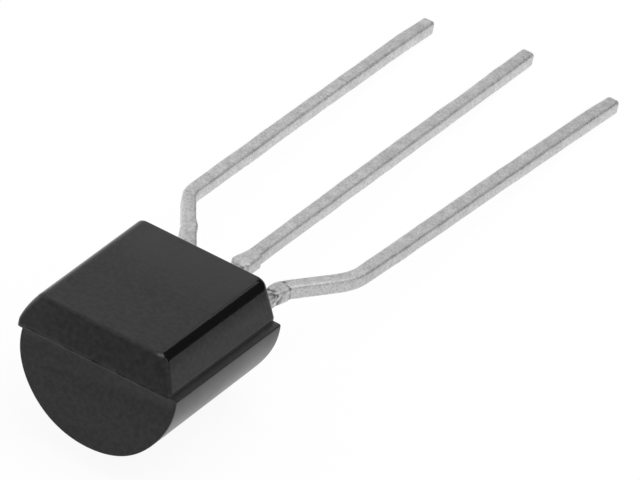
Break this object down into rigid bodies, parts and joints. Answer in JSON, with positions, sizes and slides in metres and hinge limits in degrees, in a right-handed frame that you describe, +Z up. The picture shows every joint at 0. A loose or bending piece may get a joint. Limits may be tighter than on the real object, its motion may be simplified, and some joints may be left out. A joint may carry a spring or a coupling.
{
  "type": "transistor",
  "caption": "Small through-hole transistor: a black moulded body with one flat face and a round back, on tinned leads whose outer ones are formed outwards.",
  "frame": {"origin": "on the surface the transistor lies on, under the middle of the round back's edge at the body's lead end, which is where the body touches it", "axes": "+X across the leads, to the right as seen from above with the leads pointing away; +Y level, the way the leads point; +Z up. The part is tipped 7.4 degrees about X, lead tips down, so the flat face's outward normal is (0, 0.129, 0.992)."},
  "size_m": [0.0059, 0.0208, 0.0041],
  "materials": {
    "epoxy": "matte",
    "tinned_lead": "matte",
    "silicon": "polished",
    "solder": "satin",
    "bond_wire": "gloss"
  },
  "bodies": {
    "root": {"moulded_body": "epoxy", "collector_lead": "tinned_lead", "base_lead": "tinned_lead", "emitter_lead": "tinned_lead", "silicon_die": "silicon", "die_solder": "solder", "base_bond_wire": "bond_wire", "emitter_bond_wire": "bond_wire"}
  },
  "joints": []
}
